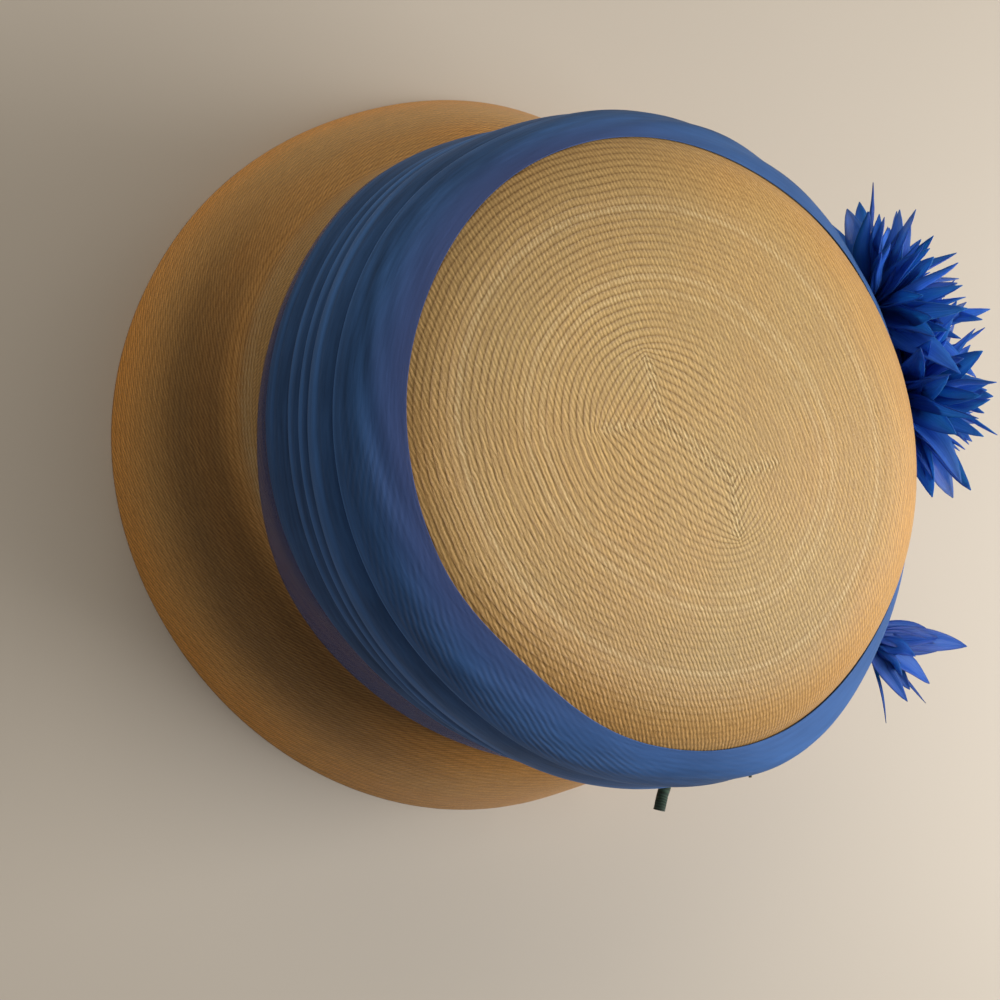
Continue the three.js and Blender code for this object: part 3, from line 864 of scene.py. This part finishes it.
def build_lower_swath(settings):
    """The foot of the band: a sheer hem, then pleats that wander, narrow and merge."""
    q = np.linspace(0, 1, 84)[:, None]
    azimuth = CLOTH_AZIMUTHS[None, :]
    low, high = band_height(BAND_BOTTOM), band_height(BAND_SEAM)
    full = around(PLEAT_LIFT, CLOTH_AZIMUTHS)[None, :]
    flare = around(HEM_FLARE, CLOTH_AZIMUTHS)[None, :]
    creases = [
        around(row, CLOTH_AZIMUTHS)[None, :] + 0.011 * waves(azimuth, 20 + number, 6, 2)
        for number, row in enumerate(CREASES)
    ]
    hem_top = creases[0]
    lift = 0.5 + flare * (1 - smoothstep(0, 0.3, q))
    lift = lift + 0.25 * full * smoothstep(0.5, 1.0, q / hem_top)
    # painted shade at the top of the hem, under the first pleat
    fold = 0.35 * smoothstep(0.8, 1.0, q / hem_top) * np.ones_like(azimuth)
    for number, rise in enumerate(PLEAT_RISE):
        start, end = creases[number], creases[number + 1]
        inside = np.clip((q - start) / (end - start), 0, 1)
        within = (inside > 0) & (inside < 1)
        over = np.sqrt(np.clip(0.5 - 0.5 * np.cos(2 * np.pi * inside**0.62), 0, 1))
        swell = 1 + 0.2 * waves(azimuth, 30 + number, 5, 1)
        lift = lift + 0.85 * rise * full * swell * over * within
        # a finer crease runs along each pleat and fades in and out
        middle = inside - 0.5 - 0.13 * waves(azimuth, 45 + number, 5, 2)
        fading = np.clip(0.5 + 0.6 * waves(azimuth, 60 + number, 6, 2), 0, 1)
        lift = lift - 0.4 * np.exp(-((middle / 0.045) ** 2)) * fading
        # painted highlights on the crests and beside the finer creases, and painted shade in the
        # creases on both sides of them
        light = np.exp(-(((inside - 0.3) / 0.2) ** 2)) * PLEAT_LIGHT[number]
        light = light + 0.3 * np.exp(-(((middle + 0.07) / 0.05) ** 2)) * fading
        dark = np.maximum(smoothstep(0.72, 1.0, inside), 1 - smoothstep(0.0, 0.07, inside))
        fold = np.where(within, np.maximum(np.clip(0.62 - light, 0, 1), dark), fold)
    heights = low + (high - low) * q
    layers = smoothstep(0.75, 1.1, q / hem_top) * np.ones_like(azimuth)
    marks = {"layers": layers, "crinkle": 0.12 * np.ones_like(lift), "fold": fold}
    cloth_ring(
        "chiffon_pleats", heights, lift, marks, settings, settings.sheer * 0.8,
        "band_lower_swath",
    )


def build_upper_swath(settings):
    """The wide smooth fold above the pleats, turned over the crown's round edge."""
    profile = through(FOLD_PROFILE, 78)
    q, shape = profile[:, :1], profile[:, 1:]
    azimuth = CLOTH_AZIMUTHS[None, :]
    low, high = band_height(BAND_SEAM), band_height(BAND_TOP)
    full = around(FOLD_LIFT, CLOTH_AZIMUTHS)[None, :]
    open_part = np.sin(np.pi * np.clip(q, 0, 1))
    height = full * (1 + 0.05 * waves(azimuth, 51, 5, 1))
    standing = smoothstep(5.0, 8.0, full)
    shape = shape + standing * 0.5 * open_part * smoothstep(0.3, 0.7, q)
    edge = 0.006 * waves(azimuth, 52, 6, 3) * smoothstep(0.6, 1, q)
    heights = low + (high - low) * (q + edge)
    heights = heights + 0.6 * waves(azimuth, 57, 5, 2) * (1 - smoothstep(0, 0.5, q))
    soft = 0.3 * waves(azimuth + 0.5 * q, 55, 8, 3) + 0.6 * waves(azimuth - 0.9 * q, 56, 14, 9)
    lift = 0.4 + shape * height + soft * open_part
    layers = 1 - 0.85 * smoothstep(0.35, 0.98, q) * np.ones_like(azimuth)
    # crinkled at the left, a painted highlight on the lip at the lower edge, and a painted shadow
    # in the tuck above it
    left = np.exp(-(((CLOTH_AZIMUTHS - math.radians(88)) / math.radians(38)) ** 2))
    crinkle = (0.12 + 0.88 * left)[None, :] * smoothstep(0.0, 0.12, q)
    crinkle = crinkle * (1 - 0.6 * smoothstep(0.6, 1, q))
    lip = np.exp(-(((q + 0.09) / 0.035) ** 2))
    tuck = 0.24 * smoothstep(0.02, 0.2, q) * (1 - smoothstep(0.2, 0.75, q))
    # painted light towards the upper edge, and painted shade along the soft ripples
    fold = 0.42 - 0.8 * lip + tuck - 0.2 * smoothstep(0.5, 0.95, q) + 0.3 * soft * open_part
    fold = np.clip(fold, 0, 1)
    marks = {"layers": layers, "crinkle": crinkle, "fold": fold}
    cloth_ring(
        "chiffon_fold", heights, lift, marks, settings, settings.sheer,
        "band_upper_swath",
    )


def petal_grid(length, width, curl, bend, twist, rows=13, columns=5):
    """One petal along +Y, its face to +Z, as points and maps. It narrows to a hair at its tip."""
    t = np.linspace(0, 1, rows)[:, None]
    s = np.linspace(-1, 1, columns)[None, :]
    outline = np.sin(np.pi * t**0.85) ** 0.7 * (1 - 0.3 * t) + 0.10 * (1 - t)
    half = width / 2 * np.maximum(outline, 0.02)
    x = half * s
    z = 0.5 * half * (s * s) + 0.12 * half * np.cos(3 * np.pi * t)
    turn = twist * t
    x, z = x * np.cos(turn) - z * np.sin(turn), x * np.sin(turn) + z * np.cos(turn)
    x = x + bend * length * t**2
    z = z + curl * length * t**2
    y = length * (t - 0.25 * (curl * curl + bend * bend) * t**3) + 0 * s
    points = np.stack(np.broadcast_arrays(x, y, z), -1)
    return points, np.stack(np.broadcast_arrays((s + 1) / 2, t), -1)


def flower_mesh(name, petals, settings):
    """Petals as one mesh. Each is (base, direction, roll, size, bends, shade)."""
    points, faces, uvs, shades = [], [], [], []
    start = 0
    for base, direction, roll, size, bends, shade in petals:
        grid, uv = petal_grid(*size, *bends)
        rows, columns = grid.shape[:2]
        turn = Vector((0, 1, 0)).rotation_difference(Vector(direction)).to_matrix()
        turn = np.array(turn @ Matrix.Rotation(roll, 3, "Y"))
        points.append(grid.reshape(-1, 3) @ turn.T + base)
        quads, i, k = grid_faces(rows, columns, False)
        faces.append(quads + start)
        first = i * columns + k
        corners = np.stack([first, first + columns, first + columns + 1, first + 1], -1)
        uvs.append(uv.reshape(-1, 2)[corners])
        shades.append(np.full(rows * columns, shade))
        start += rows * columns
    piece = piece_from(
        name, np.concatenate(points), np.concatenate(faces), np.concatenate(uvs), "Petal",
        {"shade": np.concatenate(shades)},
    )
    thicken(piece, PETAL_THICKNESS)
    shade_smooth(piece)
    piece.data.materials.append(petal_material(settings))
    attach(piece, "root")
    return piece


def head_petals(centre, axis, count, length, width, spread, seed):
    """Petals over a cap round an axis, on the spiral of a seed head, longer towards the outside."""
    rng = np.random.default_rng(seed)
    axis = np.array(axis) / np.linalg.norm(axis)
    side = np.cross(axis, [0, 0, 1.0])
    side /= np.linalg.norm(side)
    other = np.cross(side, axis)
    made = []
    for i in range(count):
        share = math.sqrt((i + 0.5) / count)
        lean = math.radians(spread) * share + rng.normal(0, 0.09)
        turn = i * math.pi * (3 - math.sqrt(5)) + rng.normal(0, 0.15)
        sideways = side * math.cos(turn) + other * math.sin(turn)
        direction = axis * math.cos(lean) + math.sin(lean) * sideways
        reach = length * (0.62 + 0.38 * share) * rng.uniform(0.68, 1.06)
        base = centre + direction * rng.uniform(1.5, 6.0)
        bends = (rng.normal(0, 0.14), rng.normal(0, 0.1), rng.normal(0, 0.7))
        size = (reach, width * rng.uniform(0.6, 1.25))
        made.append((base, direction, rng.uniform(-1.4, 1.4), size, bends, rng.uniform(0, 1)))
    return made


def seat(azimuth_degrees, height, out):
    """A flower's place, at a distance off the crown."""
    azimuth = np.array(math.radians(azimuth_degrees))
    radius, _ = crown_at(azimuth, np.array(float(height)))
    return place(azimuth, radius + out, height)


def outward(azimuth_degrees, up):
    """A direction away from the axis, tilted up."""
    azimuth = math.radians(azimuth_degrees)
    return np.array([math.sin(azimuth), -math.cos(azimuth), up])


def build_bunch(settings):
    """Two cornflower heads side by side at the back right."""
    length, width = settings.petal_length * 1000, settings.petal_width * 1000
    petals = []
    for azimuth, height, faces, seed in HEADS:
        centre, axis = seat(azimuth, height, SEAT_OUT), outward(faces, 0.2)
        petals += head_petals(centre, axis, PETALS_IN_HEAD, length, width, HEAD_SPREAD, seed)
    piece = flower_mesh("cornflower_heads", petals, settings)
    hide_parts("cornflower_bunch")


def build_small_flower(settings):
    """The half-open cornflower at the back: its petals point as they do in the table."""
    petals = head_petals(
        seat(180, 42, SEAT_OUT), outward(188, 0.0), count=7, length=15, width=7.0, spread=34,
        seed=83,
    )
    petals = [(*petal[:5], 0.7 + 0.3 * petal[5]) for petal in petals]
    for azimuth, up, length, width, curl, bend, roll, shade in BUD_PETALS:
        direction = outward(azimuth, up)
        direction /= np.linalg.norm(direction)
        base = seat(180.5, 43 + 6 * up, 8.0) + direction * 2.0
        petals.append((base, direction, roll, (length, width), (curl, bend, 0.1), shade))
    piece = flower_mesh("cornflower_bud", petals, settings)
    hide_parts("cornflower_small")


def tube_points(path, radius, sides=10):
    """Rings of a round bar along a path."""
    path = np.asarray(path, float)
    forward = np.gradient(path, axis=0)
    forward /= np.linalg.norm(forward, axis=1, keepdims=True)
    side = np.cross(forward, [0, 0, 1.0])
    side /= np.linalg.norm(side, axis=1, keepdims=True)
    up = np.cross(side, forward)
    turn = np.arange(sides) * 2 * np.pi / sides
    sideways, upwards = np.cos(turn)[None, :, None], np.sin(turn)[None, :, None]
    return path[:, None, :] + radius * (side[:, None, :] * sideways + up[:, None, :] * upwards)


def foot_path(start, end, radius, reach):
    """A stem's path along the crown's foot, from under the hem to an end that stands out."""
    off = 0.3 + radius
    azimuths = np.radians(np.linspace(start, end + 8, 22))
    heights = STEM_HEIGHT + 6.5 * (1 - smoothstep(0, 0.45, np.linspace(0, 1, 22)))
    points = [on_crown(azimuth, height, off) for azimuth, height in zip(azimuths, heights)]
    last = on_crown(math.radians(end), np.array(STEM_HEIGHT), off + reach)
    bend = (points[-1] + last) / 2 + (points[-1] - points[-2]) * 0.6
    return np.array([*points, points[-1] * 0.45 + bend * 0.55, bend * 0.5 + last * 0.5, last])


def build_stems():
    """The wrapped stem under the band and a thin wire, with their cut ends out at the left."""
    groups, faces, uvs = [], [], []
    start = 0
    for first, end, radius, reach in STEMS:
        rings = tube_points(foot_path(first, end, radius, reach), radius)
        count, sides = rings.shape[:2]
        groups.append(rings.reshape(-1, 3))
        quads, i, k = grid_faces(count, sides, True)
        faces += (quads + start).tolist()
        wound = np.stack([i, i + 1, i + 1, i], -1).reshape(-1, 1) * STEM_WINDS
        uvs.append(wound * [1.0, 0.0])
        for ring, flip in ((0, True), (count - 1, False)):
            cap = [start + ring * sides + s for s in range(sides)]
            faces.append(cap if flip else cap[::-1])
            uvs.append(np.zeros((sides, 2)))
        start += count * sides
    piece = piece_from("flower_stem", np.concatenate(groups), faces, np.concatenate(uvs), "Stem")
    bm = bmesh.new()
    bm.from_mesh(piece.data)
    bmesh.ops.recalc_face_normals(bm, faces=bm.faces)
    bm.to_mesh(piece.data)
    bm.free()
    shade_smooth(piece)
    piece.data.materials.append(stem_material())
    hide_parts("flower_stems")
    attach(piece, "root")


def area_light(name, location, size, power, colour):
    light = bpy.data.lights.new(name, "AREA")
    light.energy = power
    light.size = size
    light.color = colour
    lamp = bpy.data.objects.new(name, light)
    lamp.location = location
    lamp.rotation_euler = (LIT_POINT - Vector(location)).to_track_quat("-Z", "Y").to_euler()
    bpy.context.scene.collection.objects.link(lamp)


class CLOCHE_OT_stage(bpy.types.Operator):
    """Makes the floor, the lights and the camera"""

    bl_idname = "cloche.stage"
    bl_label = "Stage"

    def execute(self, context):
        for other in context.selected_objects:
            other.select_set(False)
        bpy.ops.mesh.primitive_plane_add(size=8.0, location=(0, 0, 0))
        floor = context.active_object
        floor.name = "floor"
        floor.data.materials.append(floor_material())
        for name, lamp in LAMPS.items():
            area_light(name, *lamp)
        world = bpy.data.worlds.new("studio")
        world.use_nodes = True
        background = world.node_tree.nodes["Background"]
        background.inputs["Color"].default_value = (1.0, 0.97, 0.92, 1.0)
        background.inputs["Strength"].default_value = 0.15
        context.scene.world = world
        context.scene.view_settings.view_transform = "Standard"
        camera = bpy.data.cameras.new("camera")
        camera.lens = 57.6
        camera.sensor_width = 36.0
        viewer = bpy.data.objects.new("camera", camera)
        context.scene.collection.objects.link(viewer)
        turn = Matrix(CAMERA_AXES).transposed().to_4x4()
        viewer.matrix_world = Matrix.Translation(CAMERA_PLACE) @ turn
        context.scene.camera = viewer
        return {"FINISHED"}


class CLOCHE_OT_straw(bpy.types.Operator):
    """Makes the woven crown and brim"""

    bl_idname = "cloche.straw"
    bl_label = "Straw Hood"

    def execute(self, context):
        build_straw(context.scene.cloche_straw)
        return {"FINISHED"}


class CLOCHE_OT_band(bpy.types.Operator):
    """Makes the draped chiffon band"""

    bl_idname = "cloche.band"
    bl_label = "Chiffon Band"

    def execute(self, context):
        build_lower_swath(context.scene.cloche_chiffon)
        build_upper_swath(context.scene.cloche_chiffon)
        return {"FINISHED"}


class CLOCHE_OT_flowers(bpy.types.Operator):
    """Makes the cornflowers and their stems"""

    bl_idname = "cloche.flowers"
    bl_label = "Cornflowers"

    def execute(self, context):
        build_bunch(context.scene.cloche_flowers)
        build_small_flower(context.scene.cloche_flowers)
        build_stems()
        return {"FINISHED"}


class CLOCHE_PT_panel(bpy.types.Panel):
    """The hat's pieces in the sidebar"""

    bl_label = "Straw Cloche"
    bl_space_type = "VIEW_3D"
    bl_region_type = "UI"
    bl_category = "Cloche"

    def draw(self, context):
        scene = context.scene
        for settings in (scene.cloche_straw, scene.cloche_chiffon, scene.cloche_flowers):
            for key in settings.bl_rna.properties.keys():
                if key not in ("rna_type", "name"):
                    self.layout.prop(settings, key)
        for operator in ("cloche.stage", "cloche.straw", "cloche.band", "cloche.flowers"):
            self.layout.operator(operator)


CLASSES = (
    StrawSettings,
    ChiffonSettings,
    FlowerSettings,
    CLOCHE_OT_stage,
    CLOCHE_OT_straw,
    CLOCHE_OT_band,
    CLOCHE_OT_flowers,
    CLOCHE_PT_panel,
)


def register():
    for cls in CLASSES:
        bpy.utils.register_class(cls)
    bpy.types.Scene.cloche_straw = bpy.props.PointerProperty(type=StrawSettings)
    bpy.types.Scene.cloche_chiffon = bpy.props.PointerProperty(type=ChiffonSettings)
    bpy.types.Scene.cloche_flowers = bpy.props.PointerProperty(type=FlowerSettings)


def unregister():
    del bpy.types.Scene.cloche_flowers
    del bpy.types.Scene.cloche_chiffon
    del bpy.types.Scene.cloche_straw
    for cls in reversed(CLASSES):
        bpy.utils.unregister_class(cls)


def main():
    register()
    bpy.ops.cloche.stage()
    bpy.ops.cloche.straw()
    bpy.ops.cloche.band()
    bpy.ops.cloche.flowers()


if __name__ == "__main__":
    main()
